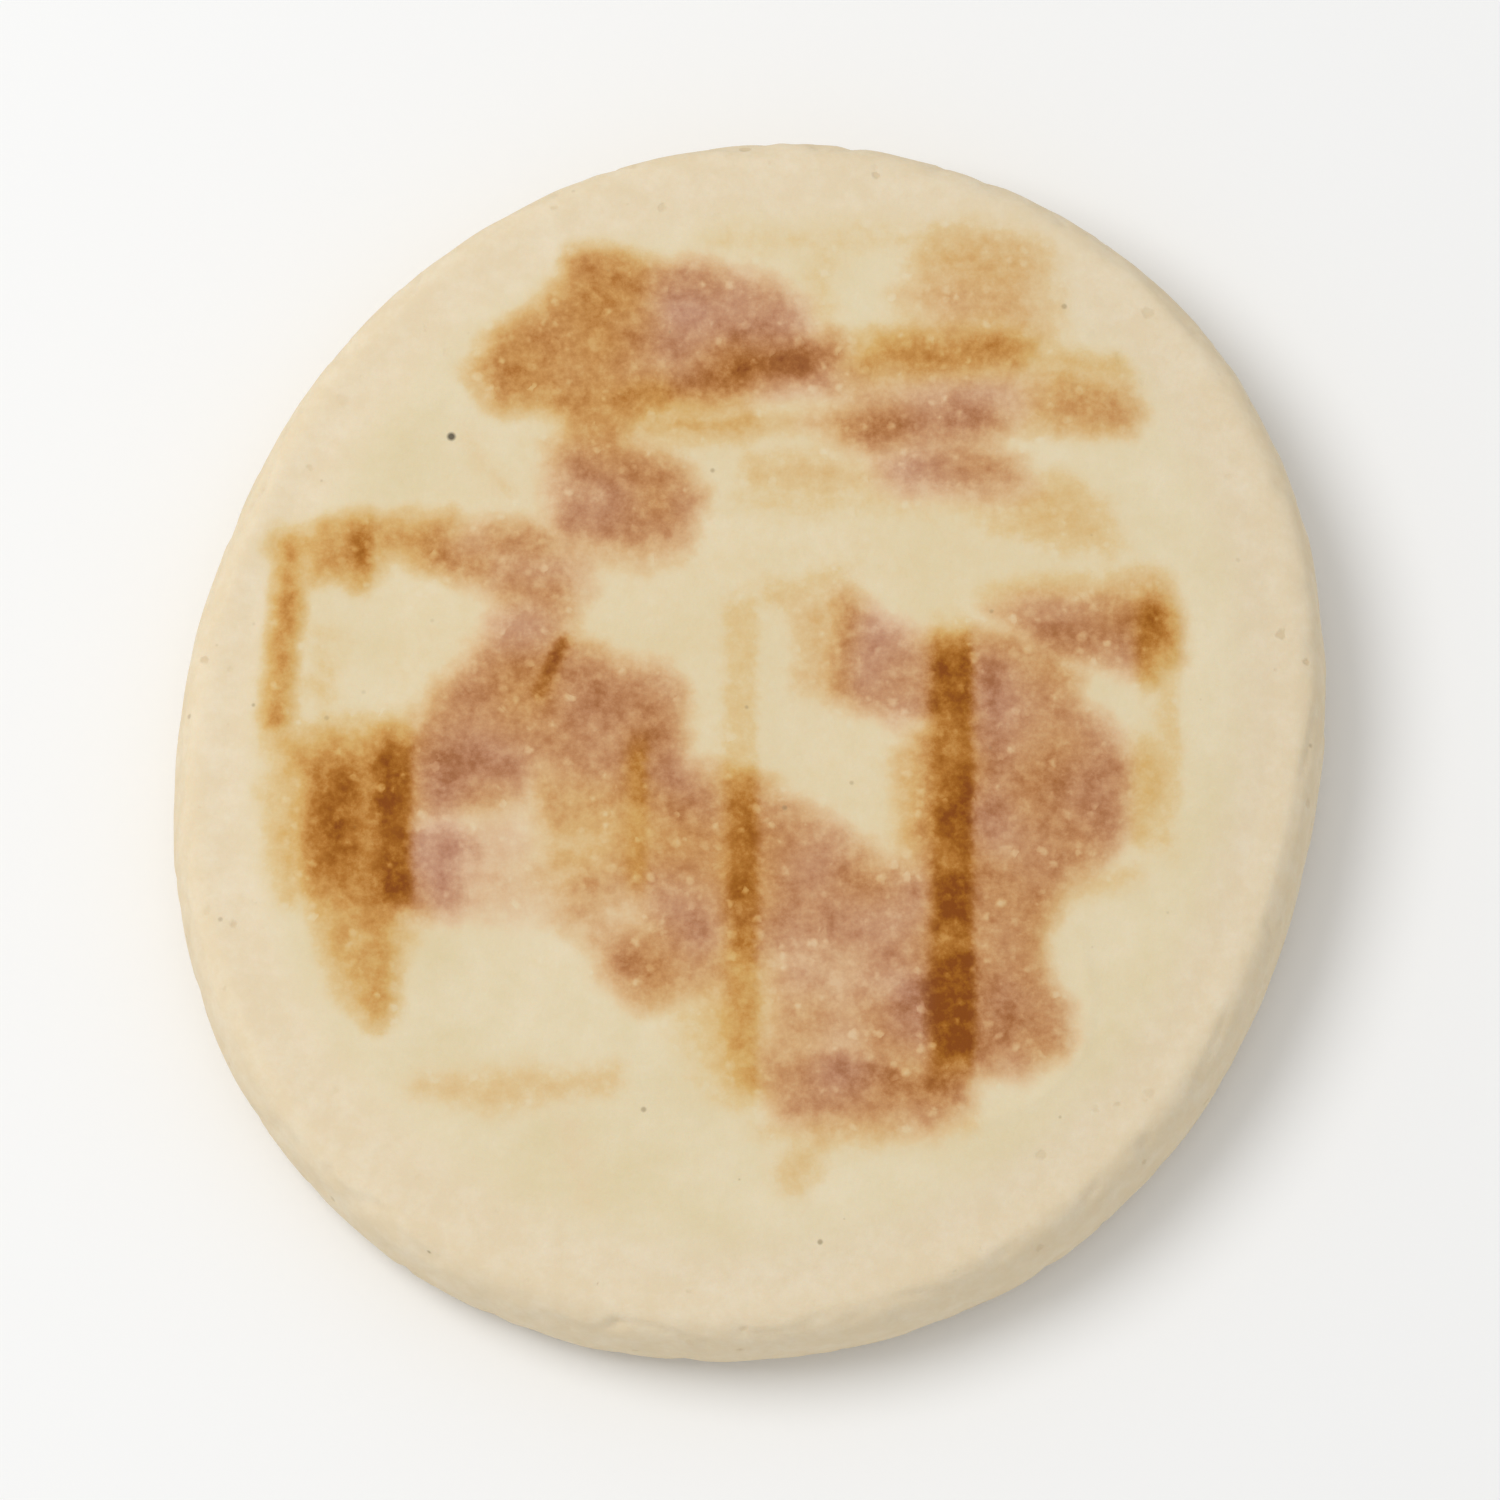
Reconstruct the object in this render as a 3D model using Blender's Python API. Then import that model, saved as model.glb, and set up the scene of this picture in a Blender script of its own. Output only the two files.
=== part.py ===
"""A tigella: a small flatbread of the Modena hills, baked between two hot plates.

The bread is one solid. It has two flat faces where the plates pressed it, a rim zone
that falls away from each face, and a full, rounded edge between them. Its outline is a
hand-rolled round: a little longer than wide, with the long axis leaning to the right.
Where the dough bridged the upper plate, the face keeps shallow hollows.

Units are metres, +Z is up, and the origin is under the middle of the bread, on the
surface that it rests on.
"""

import math
from collections import namedtuple

import bmesh
import bpy

# Driving dimensions
MEAN_RADIUS = 0.0517
THICKNESS = 0.0125

# What is uneven round the bread. Each swell adds up to `share` of the plain size, `lobes`
# times round, with one of its high points at `lean` degrees from +X.
Swell = namedtuple("Swell", "lobes share lean")
OUTLINE_SWELLS = (
    Swell(lobes=2, share=0.055, lean=71),
    Swell(lobes=3, share=0.003, lean=-56),
    Swell(lobes=4, share=0.007, lean=37),
)
RIM_FALL_SWELLS = (
    Swell(lobes=1, share=0.25, lean=-120),
    Swell(lobes=3, share=0.15, lean=20),
)
EDGE_MIDDLE_SWELLS = (
    Swell(lobes=1, share=0.06, lean=60),
    Swell(lobes=4, share=0.05, lean=10),
)

# The section, from the middle of a face out to the edge. `pressed` is the share of the
# radius that the plate touched, `shoulder` the share where the rounded edge begins, and
# `fall` how far the rim zone drops between the two.
Face = namedtuple("Face", "pressed shoulder fall")
UPPER_FACE = Face(pressed=0.80, shoulder=0.935, fall=0.0008)
UNDER_FACE = Face(pressed=0.84, shoulder=0.940, fall=0.0007)
EDGE_SQUARENESS = 2.6
EDGE_MIDDLE = 0.48 * THICKNESS

# Shallow hollows in the upper face: the middle, how far each reaches along X and Y
# before it has run out, and its depth.
Hollow = namedtuple("Hollow", "x y reach_x reach_y depth")
HOLLOWS = (
    Hollow(x=-0.0330, y=0.0115, reach_x=0.0130, reach_y=0.0150, depth=0.00035),
    Hollow(x=0.0090, y=0.0020, reach_x=0.0150, reach_y=0.0160, depth=0.00040),
    Hollow(x=0.0030, y=0.0195, reach_x=0.0300, reach_y=0.0070, depth=0.00030),
    Hollow(x=-0.0200, y=-0.0235, reach_x=0.0220, reach_y=0.0100, depth=0.00030),
    Hollow(x=0.0300, y=-0.0200, reach_x=0.0120, reach_y=0.0160, depth=0.00030),
)

# How finely the solid is cut
SPOKES = 96
PRESSED_RINGS = 13
RIM_RINGS = 4
EDGE_RINGS = 8

CRUST_COLOUR = (0.76, 0.66, 0.45, 1.0)
CRUST_ROUGHNESS = 0.8


def clear_scene():
    for old in list(bpy.data.objects):
        bpy.data.objects.remove(old, do_unlink=True)


def uneven(swells, angle):
    """The factor by which `swells` change a size in the direction `angle`."""
    return 1 + sum(
        swell.share * math.cos(swell.lobes * (angle - math.radians(swell.lean)))
        for swell in swells
    )


def outline_radius(angle):
    """The widest radius of the bread in the direction `angle`."""
    return MEAN_RADIUS * uneven(OUTLINE_SWELLS, angle)


def spoke_angles():
    return [2 * math.pi * spoke / SPOKES for spoke in range(SPOKES)]


def outline_middle():
    """The middle of the outline's box, which is set on the origin."""
    across = [outline_radius(angle) * math.cos(angle) for angle in spoke_angles()]
    along = [outline_radius(angle) * math.sin(angle) for angle in spoke_angles()]
    return (min(across) + max(across)) / 2, (min(along) + max(along)) / 2


def ease(share):
    """0 to 1, level at both ends."""
    return share * share * (3 - 2 * share)


def rim_section(face, fall):
    """(share of the radius, drop) from the pressed face's border to the shoulder."""
    section = []
    for ring in range(RIM_RINGS + 1):
        out = ring / RIM_RINGS
        share = face.pressed + (face.shoulder - face.pressed) * out
        section.append((share, fall * ease(out)))
    return section


def edge_section(face, fall, middle_drop):
    """(share of the radius, drop) round the shoulder, down to just before mid-edge.

    The edge is a quarter of a superellipse between the shoulder and mid-edge.
    """
    power = 2 / EDGE_SQUARENESS
    section = []
    for ring in range(1, EDGE_RINGS):
        turn = math.pi / 2 * ring / EDGE_RINGS
        share = face.shoulder + (1 - face.shoulder) * math.sin(turn) ** power
        drop = fall + (middle_drop - fall) * (1 - math.cos(turn) ** power)
        section.append((share, drop))
    return section


def border_section(face, middle_drop, angle):
    """(share of the radius, drop) from the pressed face's border to near mid-edge."""
    fall = face.fall * uneven(RIM_FALL_SWELLS, angle)
    return rim_section(face, fall) + edge_section(face, fall, middle_drop)


def spoke_section(angle):
    """(share of the radius, height) along one spoke, from underneath to over the top."""
    edge_middle = EDGE_MIDDLE * uneven(EDGE_MIDDLE_SWELLS, angle)
    under = border_section(UNDER_FACE, edge_middle, angle)
    upper = border_section(UPPER_FACE, THICKNESS - edge_middle, angle)
    falling = [(share, THICKNESS - drop) for share, drop in reversed(upper)]
    pressed = [
        (UPPER_FACE.pressed * ring / PRESSED_RINGS, THICKNESS)
        for ring in range(PRESSED_RINGS - 1, 0, -1)
    ]
    return under + [(1.0, edge_middle)] + falling + pressed


def hollow_depth(x, y):
    """How far the upper face is sunk at a point."""
    depth = 0.0
    for hollow in HOLLOWS:
        away = math.hypot((x - hollow.x) / hollow.reach_x, (y - hollow.y) / hollow.reach_y)
        if away < 1:
            depth += hollow.depth * ease(1 - away)
    return depth


def spoke_corners(angle, middle):
    """The corners of the bread along one spoke, from underneath to over the top."""
    corners = []
    for share, height in spoke_section(angle):
        reach = share * outline_radius(angle)
        x = reach * math.cos(angle) - middle[0]
        y = reach * math.sin(angle) - middle[1]
        faces_up = height > EDGE_MIDDLE and share < UPPER_FACE.shoulder
        sunk = hollow_depth(x, y) if faces_up else 0.0
        corners.append((x, y, height - sunk))
    return corners


def add_strip(mesh, lower, upper):
    """A closed strip of quads between two rings of points, one point to a spoke."""
    lower_ends = zip(lower, lower[1:] + lower[:1])
    upper_ends = zip(upper, upper[1:] + upper[:1])
    for (a, b), (d, c) in zip(lower_ends, upper_ends):
        mesh.faces.new((a, b, c, d))


def bread_mesh():
    mesh = bmesh.new()
    middle = outline_middle()
    spokes = [spoke_corners(angle, middle) for angle in spoke_angles()]
    rings = [[mesh.verts.new(corner) for corner in corners] for corners in zip(*spokes)]
    for lower, upper in zip(rings, rings[1:]):
        add_strip(mesh, lower, upper)
    mesh.faces.new(reversed(rings[0]))
    crown = mesh.faces.new(rings[-1])
    bmesh.ops.poke(mesh, faces=[crown])
    bmesh.ops.recalc_face_normals(mesh, faces=mesh.faces)
    data = bpy.data.meshes.new("tigella")
    mesh.to_mesh(data)
    mesh.free()
    data.shade_smooth()
    return data


def crust_material():
    material = bpy.data.materials.new("baked_crust")
    material.use_nodes = True
    shader = material.node_tree.nodes["Principled BSDF"]
    shader.inputs["Base Color"].default_value = CRUST_COLOUR
    shader.inputs["Roughness"].default_value = CRUST_ROUGHNESS
    shader.inputs["Metallic"].default_value = 0.0
    return material


def make_tigella():
    data = bread_mesh()
    data.materials.append(crust_material())
    bread = bpy.data.objects.new("tigella", data)
    bpy.context.scene.collection.objects.link(bread)
    return bread


def main():
    clear_scene()
    make_tigella()


main()
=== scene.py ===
"""A tigella: the fine surface, the toast marks and the crust of a small flatbread.

The tables and the functions that read them are in millimetres, on axes that start under
the middle of the bread. Blender's own properties are in metres.
"""

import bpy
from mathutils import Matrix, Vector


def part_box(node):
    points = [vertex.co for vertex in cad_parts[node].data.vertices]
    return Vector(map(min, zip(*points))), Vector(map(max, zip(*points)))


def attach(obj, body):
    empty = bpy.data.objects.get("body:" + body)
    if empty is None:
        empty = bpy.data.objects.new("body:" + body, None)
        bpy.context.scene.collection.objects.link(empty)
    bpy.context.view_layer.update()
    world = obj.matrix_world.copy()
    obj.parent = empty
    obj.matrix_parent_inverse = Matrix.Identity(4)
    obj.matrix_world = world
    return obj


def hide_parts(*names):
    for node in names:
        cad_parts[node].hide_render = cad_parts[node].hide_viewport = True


bl_info = {
    "name": "Tigella",
    "version": (1, 0, 0),
    "blender": (4, 5, 0),
    "location": "3D View > Sidebar > Tigella",
    "description": "Makes a tigella, a small flatbread baked between hot plates",
    "category": "Add Mesh",
}

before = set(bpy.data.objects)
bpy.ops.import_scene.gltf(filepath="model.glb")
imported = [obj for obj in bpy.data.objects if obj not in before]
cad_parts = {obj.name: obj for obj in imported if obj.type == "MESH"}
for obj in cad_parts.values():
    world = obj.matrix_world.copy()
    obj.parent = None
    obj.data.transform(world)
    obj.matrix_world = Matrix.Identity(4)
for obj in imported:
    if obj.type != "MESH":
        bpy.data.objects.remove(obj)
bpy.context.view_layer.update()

import math
import random
from collections import namedtuple

import bmesh
import bpy
import numpy as np
from bpy.props import FloatProperty, FloatVectorProperty, IntProperty, PointerProperty
from mathutils import Vector, noise

NODE = "tigella"
LOW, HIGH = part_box(NODE)
MIDDLE = (LOW + HIGH) / 2
SIZE = HIGH - LOW
MM = 0.001

# The blank that the bread is shaped from: a round, stretched one way.
COLUMNS = 184
STRETCH = 0.055
STRETCH_LEAN = math.radians(71)
ROUNDED_EDGE = 3.4 * MM
EDGE_ROWS = 3
EDGE_FULLNESS = 0.6
# How often its faces are halved, and the passes that smooth it once it lies on the solid
FINENESS = 2
SMOOTHING = 16

# A toast mark covers its outline and `spread` millimetres round it. An outline of two
# points is a stroke. `brown` is how far the mark is toasted, from 0 to 1, and one below 0
# takes toasting away. `haze` is the share of mauve in its brown.
Mark = namedtuple("Mark", "hand brown haze spread outline")
# `soft` is the width over which a mark's edge fades, and `ragged` how far it wanders.
# A patch is the body of a mark, a touch is a darker place in one, a line is a thin dark
# stroke and a streak an upright one. Smears, clouds and glows are ever fainter and wider.
Hand = namedtuple("Hand", "soft ragged")
PATCH = Hand(soft=5.0, ragged=1.0)
TOUCH = Hand(soft=5.0, ragged=1.0)
LINE = Hand(soft=1.2, ragged=0.4)
SMEAR = Hand(soft=6.0, ragged=1.0)
STREAK = Hand(soft=3.4, ragged=0.5)
CLOUD = Hand(soft=8.5, ragged=1.4)
GLOW = Hand(soft=12.0, ragged=2.0)

UPPER_MARKS = (
    # The wedge at the upper left, and the dark streak at its right
    Mark(PATCH, 0.50, 0.15, 0.2, (
        (-24.2, 31.4), (-22.8, 34.2), (-20.6, 36.4), (-17.6, 38.6), (-15.4, 40.4),
        (-14.0, 42.0), (-12.5, 42.6), (-9.0, 42.2), (-7.2, 41.2), (-7.0, 36.0), (-9.5, 31.5),
        (-12.0, 27.6), (-14.5, 26.6), (-17.5, 28.4), (-21.0, 29.0),
    )),
    Mark(TOUCH, 0.57, 0.25, 1.5, ((-21.0, 32.0), (-16.0, 31.5))),
    Mark(TOUCH, 0.60, 0.15, 1.5, ((-14.0, 41.3), (-10.5, 40.8))),
    Mark(PATCH, 0.50, 0.55, 0.4, ((-11.6, 36.4), (-5.0, 36.4), (-5.6, 31.4), (-11.8, 30.4))),
    Mark(PATCH, 0.49, 0.90, 0.2, (
        (-8.0, 41.4), (-4.0, 41.4), (0.0, 40.6), (2.6, 39.4), (4.2, 37.8), (5.4, 35.4),
        (7.6, 34.2), (8.2, 32.0), (7.6, 30.4), (0.0, 29.4), (-6.0, 30.0), (-8.5, 34.0),
    )),
    Mark(TOUCH, 0.52, 0.15, 1.8, ((-6.8, 40.0), (-3.6, 39.8))),
    Mark(TOUCH, 0.50, 0.40, 1.4, ((-7.4, 36.0), (-6.6, 33.0))),
    Mark(TOUCH, 0.62, 0.95, 1.9, ((-1.5, 35.6), (2.5, 35.0))),
    Mark(TOUCH, 0.58, 0.00, 1.9, ((-11.0, 29.4), (-2.0, 31.0))),
    Mark(TOUCH, 0.74, 0.20, 1.5, ((-4.5, 31.8), (0.5, 32.8), (6.5, 33.8), (0.5, 33.0))),
    Mark(TOUCH, 0.90, 0.30, 1.9, ((-0.6, 32.6), (3.4, 33.2))),
    # What joins it to the patch below
    Mark(PATCH, 0.42, 0.35, 0.0, ((-16.2, 29.0), (-9.0, 29.4), (-10.0, 23.6), (-16.8, 23.6))),
    Mark(SMEAR, 0.38, 0.10, 1.2, ((-8.0, 27.0), (0.0, 27.4))),
    Mark(SMEAR, 0.30, 0.20, 1.0, ((0.0, 27.0), (6.0, 27.2))),
    Mark(PATCH, 0.50, 0.60, 0.3, (
        (-16.9, 24.8), (-13.0, 25.6), (-9.0, 25.2), (-6.0, 23.6), (-4.4, 21.4), (-4.8, 18.8),
        (-5.8, 16.6), (-9.2, 15.8), (-13.0, 16.4), (-16.6, 17.2), (-17.2, 21.6),
    )),
    Mark(TOUCH, 0.60, 0.80, 1.5, ((-15.0, 22.8), (-11.5, 21.4))),
    Mark(TOUCH, 0.53, 0.30, 1.5, ((-8.8, 20.6), (-7.0, 18.6))),
    Mark(SMEAR, 0.32, 0.40, 1.0, ((-16.0, 16.4), (-10.0, 15.6), (-6.5, 15.8))),
    # The long marks at the upper right
    Mark(TOUCH, 0.44, 0.00, 0.9, (
        (7.2, 32.6), (9.5, 34.0), (13.0, 35.0), (18.0, 35.4), (23.0, 35.0), (24.4, 33.8),
        (23.2, 32.0), (18.0, 31.6), (12.0, 31.6), (8.6, 31.6),
    )),
    Mark(TOUCH, 0.49, 0.00, 1.4, ((14.0, 33.3), (22.5, 33.7))),
    Mark(SMEAR, 0.34, 0.00, 0.8, ((24.0, 32.8), (31.5, 32.4))),
    Mark(CLOUD, 0.28, 0.30, 0.0, (
        (13.0, 32.0), (13.8, 40.0), (14.8, 44.4), (20.0, 45.2), (25.2, 44.0), (26.0, 40.0),
        (26.2, 33.0),
    )),
    Mark(CLOUD, 0.27, 0.10, 2.6, ((17.5, 42.2), (22.5, 42.4))),
    Mark(CLOUD, 0.32, 0.50, 2.4, ((17.5, 38.4), (21.0, 38.2))),
    Mark(CLOUD, 0.14, 0.00, 1.6, ((-3.0, 43.4), (8.0, 44.0), (15.0, 44.6))),
    Mark(CLOUD, 0.18, 0.00, 1.6, ((5.8, 37.0), (6.2, 41.0))),
    Mark(PATCH, 0.35, 0.95, 0.4, (
        (8.4, 31.8), (16.0, 32.0), (22.6, 32.0), (24.4, 30.2), (22.6, 27.6), (20.6, 25.6),
        (14.0, 25.0), (8.6, 25.4), (5.6, 27.0), (7.6, 29.4),
    )),
    Mark(TOUCH, 0.56, 0.25, 1.5, ((8.2, 26.9), (12.5, 26.5))),
    Mark(TOUCH, 0.58, 0.60, 2.0, ((10.5, 27.0), (18.5, 27.5))),
    Mark(TOUCH, 0.58, 0.40, 1.5, ((17.5, 29.0), (20.4, 27.7))),
    Mark(PATCH, 0.37, 0.25, 0.3, (
        (23.8, 30.6), (28.0, 31.4), (32.6, 30.8), (33.6, 28.6), (32.6, 27.2), (28.0, 27.0),
        (23.6, 27.6),
    )),
    Mark(TOUCH, 0.46, 0.20, 1.5, ((27.4, 29.2), (31.4, 28.8))),
    # The marks under them
    Mark(PATCH, 0.39, 0.80, 0.5, (
        (10.6, 24.2), (15.0, 25.4), (21.0, 25.4), (23.2, 23.6), (23.8, 21.4), (20.0, 20.8),
        (15.0, 21.0), (11.2, 21.8),
    )),
    Mark(TOUCH, 0.43, 0.90, 1.5, ((14.5, 24.0), (20.5, 23.6), (21.6, 21.8), (19.0, 23.0))),
    Mark(SMEAR, 0.22, 0.05, 0.6, (
        (21.0, 22.6), (26.6, 22.4), (29.6, 19.6), (31.0, 16.6), (25.0, 16.8), (20.0, 19.6),
    )),
    Mark(SMEAR, 0.26, 0.20, 1.4, ((0.5, 23.2), (11.0, 22.6))),
    Mark(SMEAR, 0.16, 0.00, 1.4, ((0.0, 20.6), (20.0, 19.8))),
    # The arm that runs in from the left edge
    Mark(SMEAR, 0.36, 0.00, 1.2, ((-39.6, 17.0), (-26.0, 17.2))),
    Mark(PATCH, 0.47, 0.05, 0.2, (
        (-38.0, 17.8), (-35.0, 18.4), (-32.2, 18.4), (-31.9, 14.0), (-34.0, 13.2),
        (-37.2, 13.8),
    )),
    Mark(PATCH, 0.46, 0.15, 0.4, (
        (-32.2, 18.4), (-29.0, 18.6), (-25.6, 18.4), (-24.0, 15.0), (-27.0, 14.6),
        (-29.0, 16.0), (-31.6, 16.2),
    )),
    Mark(TOUCH, 0.56, 0.10, 1.3, ((-27.5, 15.6), (-23.0, 14.6))),
    Mark(PATCH, 0.39, 0.75, 0.2, (
        (-26.4, 18.0), (-22.0, 18.2), (-17.6, 17.8), (-13.6, 15.6), (-13.8, 12.4),
        (-15.2, 9.0), (-14.4, 6.6), (-21.5, 6.4), (-21.8, 9.8), (-20.8, 11.6), (-24.0, 13.0),
        (-27.4, 14.8),
    )),
    Mark(TOUCH, 0.54, 0.20, 1.5, ((-21.5, 16.8), (-18.0, 16.6))),
    Mark(TOUCH, 0.56, 0.30, 1.5, ((-19.6, 12.6), (-17.0, 11.8))),
    Mark(STREAK, 0.48, 0.00, 1.1, ((-39.0, 16.6), (-39.9, 9.0), (-40.5, 1.0))),
    Mark(STREAK, 0.51, 0.00, 0.8, ((-39.5, 12.0), (-40.1, 5.0))),
    Mark(SMEAR, 0.29, 0.00, 1.2, ((-40.2, 4.0), (-40.0, -8.0), (-39.4, -14.0))),
    Mark(CLOUD, 0.16, 0.00, 1.8, ((-36.6, 9.0), (-36.8, 3.0))),
    # The middle patch
    Mark(PATCH, 0.49, 0.50, 0.2, (
        (-26.4, 4.0), (-23.4, 7.0), (-20.0, 9.4), (-15.0, 8.0), (-11.0, 6.2), (-7.4, 5.6),
        (-6.1, 3.6), (-5.9, 1.0), (-4.8, -2.4), (-2.0, -3.8), (-2.0, -12.0), (-9.0, -8.0),
        (-12.0, -5.0), (-18.0, -4.0), (-20.0, -7.0), (-28.6, -8.0), (-30.0, -2.0),
        (-28.2, 1.0),
    )),
    Mark(TOUCH, 0.57, 0.35, 1.9, ((-12.5, 3.4), (-9.5, 1.0), (-9.0, -3.0), (-11.0, 0.0))),
    Mark(TOUCH, 0.49, 0.15, 1.7, ((-21.0, 5.6), (-18.5, 6.2), (-18.0, 3.6))),
    Mark(LINE, 0.84, 0.00, 0.7, ((-16.0, 7.6), (-17.2, 5.2), (-18.0, 3.2))),
    Mark(TOUCH, 0.59, 0.75, 2.1, ((-26.4, -1.6), (-21.0, -3.6), (-25.5, -4.6))),
    Mark(TOUCH, 0.55, 0.95, 1.9, ((-6.4, -4.4), (-3.8, -6.4))),
    Mark(PATCH, 0.40, 0.28, 0.0, (
        (-19.6, -3.0), (-9.0, -3.0), (-3.0, -7.0), (-3.0, -13.0), (-10.0, -14.0),
        (-17.6, -12.8), (-18.4, -8.0),
    )),
    Mark(SMEAR, -0.40, 0.00, 1.4, ((-17.0, -9.6), (-12.5, -9.4))),
    Mark(SMEAR, 0.22, 1.00, 0.2, (
        (-28.6, -7.0), (-18.6, -7.0), (-16.0, -12.0), (-15.0, -17.0), (-20.0, -17.4),
        (-28.8, -16.0),
    )),
    Mark(PATCH, 0.50, 0.95, 0.6, (
        (-30.0, -8.2), (-26.2, -8.4), (-22.4, -10.0), (-24.4, -12.4), (-25.4, -15.4),
        (-30.0, -15.6),
    )),
    # The dark block at the left
    Mark(SMEAR, 0.38, 0.00, 0.4, (
        (-40.4, -0.8), (-34.0, 0.4), (-29.4, -0.2), (-29.2, -4.0), (-34.0, -4.0),
        (-40.4, -4.0),
    )),
    Mark(PATCH, 0.52, 0.00, 0.2, (
        (-39.2, -2.6), (-33.0, -1.8), (-28.2, -0.8), (-28.4, -15.6), (-32.6, -16.4),
        (-36.8, -15.0), (-38.8, -11.0),
    )),
    Mark(TOUCH, 0.62, 0.00, 1.4, (
        (-36.2, -4.8), (-34.4, -4.6), (-34.4, -11.2), (-36.0, -11.6),
    )),
    Mark(SMEAR, 0.37, 0.00, 0.8, ((-39.7, -4.8), (-39.7, -8.4))),
    Mark(PATCH, 0.35, 0.06, 0.4, (
        (-37.6, -13.0), (-29.4, -14.0), (-29.8, -19.4), (-30.6, -24.0), (-32.6, -25.8),
        (-34.4, -23.8), (-36.4, -19.0),
    )),
    Mark(SMEAR, 0.26, 0.00, 0.8, ((-35.6, -18.0), (-33.2, -23.4), (-31.4, -24.6))),
    # Left of the middle bar
    Mark(PATCH, 0.45, 0.55, 0.2, (
        (-15.0, -12.2), (-9.0, -11.6), (-5.0, -10.0), (-1.8, -9.0), (-1.0, -24.4),
        (-5.0, -23.6), (-9.2, -24.0), (-12.2, -22.4), (-13.0, -19.6), (-16.6, -17.0),
    )),
    Mark(TOUCH, 0.38, 0.55, 1.5, ((-15.6, -14.0), (-12.8, -13.2))),
    Mark(TOUCH, 0.56, 0.90, 1.7, ((-6.5, -16.6), (-4.4, -18.2))),
    Mark(TOUCH, 0.55, 0.35, 2.0, ((-10.2, -20.4), (-8.2, -20.8))),
    Mark(SMEAR, -0.60, 0.00, 1.8, ((-11.6, -16.4), (-10.8, -16.2))),
    Mark(SMEAR, 0.13, 0.00, 2.6, ((-5.0, -26.0), (-3.6, -30.0))),
    Mark(SMEAR, 0.25, 0.00, 1.2, ((-3.2, -23.6), (-2.4, -31.6))),
    # Under the middle bar
    Mark(PATCH, 0.45, 0.20, 0.4, ((-2.6, -4.6), (1.6, -4.6), (1.8, -21.4), (-2.6, -21.4))),
    Mark(TOUCH, 0.29, 0.00, 1.1, ((-2.4, -20.0), (1.0, -21.0), (1.2, -32.0), (-1.4, -31.0))),
    # Between the bars
    Mark(PATCH, 0.48, 0.75, 0.2, (
        (0.0, -4.8), (3.4, -6.0), (6.4, -8.2), (9.0, -9.8), (11.6, -11.8), (13.4, -12.2),
        (15.2, -11.4), (16.0, -21.4), (12.0, -21.2), (8.0, -19.8), (4.0, -19.6), (0.0, -21.0),
    )),
    Mark(TOUCH, 0.53, 0.85, 1.7, ((2.2, -12.0), (3.2, -15.6))),
    Mark(TOUCH, 0.52, 0.40, 1.7, ((9.0, -13.2), (13.4, -14.4))),
    Mark(PATCH, 0.35, 0.75, 0.0, ((0.7, -20.0), (16.0, -20.0), (16.0, -28.8), (0.9, -28.8))),
    Mark(CLOUD, 0.44, 0.60, 2.0, ((4.0, -19.6), (14.0, -20.4))),
    Mark(PATCH, 0.44, 0.30, 0.6, ((10.0, -25.0), (17.0, -25.0), (18.0, -30.0), (9.0, -29.0))),
    Mark(PATCH, 0.64, 0.85, 0.4, (
        (17.0, -19.4), (12.8, -21.6), (11.4, -23.8), (12.6, -26.2), (17.0, -28.0),
    )),
    Mark(TOUCH, 0.60, 0.20, 1.4, ((12.0, -24.4), (13.8, -24.8))),
    Mark(TOUCH, 0.47, 0.45, 1.6, ((10.2, -24.4), (13.2, -27.2))),
    Mark(PATCH, 0.48, 0.50, 0.2, (
        (1.2, -28.2), (4.0, -27.4), (8.0, -28.0), (14.0, -28.8), (19.4, -30.0), (19.0, -33.4),
        (15.4, -35.0), (10.0, -35.6), (5.0, -35.4), (2.0, -34.2), (1.0, -31.0),
    )),
    Mark(TOUCH, 0.55, 0.80, 1.8, ((7.6, -30.2), (12.0, -30.8))),
    Mark(TOUCH, 0.66, 0.10, 1.9, ((12.6, -31.2), (15.8, -31.4))),
    Mark(SMEAR, 0.22, 0.10, 0.8, ((2.0, -35.6), (10.0, -36.2), (18.6, -34.8))),
    # Under the right bar
    Mark(PATCH, 0.43, 0.10, 0.4, ((14.6, 7.4), (19.6, 7.4), (19.6, 1.4), (14.6, 1.4))),
    Mark(PATCH, 0.36, 0.00, 0.4, ((15.4, 2.0), (19.4, 2.0), (19.4, -12.0), (14.8, -12.0))),
    Mark(TOUCH, 0.48, 0.00, 1.3, ((16.6, -3.4), (19.0, -3.2), (19.0, -9.0), (16.8, -8.6))),
    Mark(SMEAR, 0.49, 0.20, 1.4, ((14.6, -1.4), (14.3, -5.0), (14.4, -12.0))),
    Mark(PATCH, 0.52, 0.30, 0.2, ((14.6, -12.0), (20.0, -12.0), (20.0, -18.4), (14.6, -18.4))),
    Mark(PATCH, 0.64, 0.40, 0.4, ((15.4, -20.0), (20.0, -20.0), (20.4, -29.6), (15.4, -27.6))),
    # Round the top of the right bar
    Mark(SMEAR, 0.25, 0.40, 0.4, (
        (3.4, 11.8), (7.6, 12.8), (8.4, 8.0), (7.8, 3.0), (4.2, 3.6), (3.8, 8.0),
    )),
    Mark(PATCH, 0.47, 0.80, 0.2, (
        (7.4, 11.6), (11.0, 10.2), (14.4, 8.0), (17.0, 7.4), (17.0, 1.0), (12.4, 1.0),
        (7.6, 2.4),
    )),
    Mark(TOUCH, 0.56, 0.10, 1.2, ((8.0, 10.6), (8.0, 3.6))),
    Mark(SMEAR, 0.20, 0.00, 1.2, ((2.0, 12.4), (7.0, 13.4))),
    # The arm at the right
    Mark(SMEAR, 0.30, 0.00, 1.0, ((21.0, 11.8), (26.0, 13.2), (35.0, 12.8))),
    Mark(PATCH, 0.49, 0.75, 0.2, (
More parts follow.
